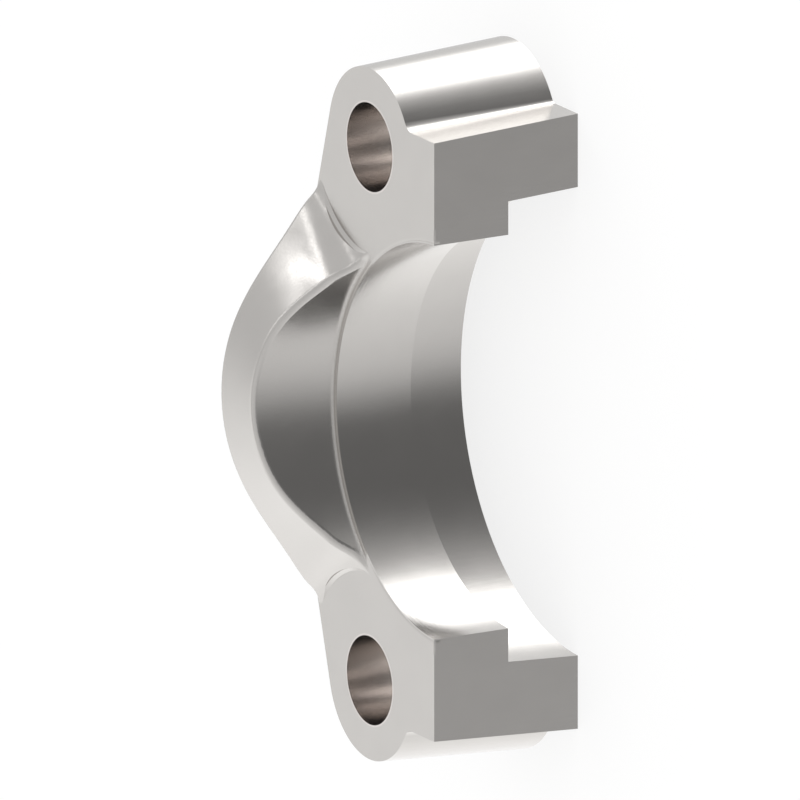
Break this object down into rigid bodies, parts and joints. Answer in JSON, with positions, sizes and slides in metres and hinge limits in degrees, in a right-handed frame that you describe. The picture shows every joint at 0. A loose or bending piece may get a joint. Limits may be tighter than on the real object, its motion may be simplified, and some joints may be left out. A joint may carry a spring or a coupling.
{
  "type": "split flange clamp half",
  "caption": "Half-round clamp with a raised arch and two bolt ears; it holds a pipe's flange head against a port.",
  "frame": {"origin": "on the pipe axis, in the plane of the shoulder that bears on the pipe's flange head", "axes": "+Z along the pipe axis, away from the port; +Y along the line of the two bolts; +X square to the split faces, from the arch towards the missing half"},
  "size_m": [0.0278, 0.0696, 0.0239],
  "materials": {
    "steel": "satin"
  },
  "bodies": {
    "root": {"flange_half": "steel"}
  },
  "joints": []
}
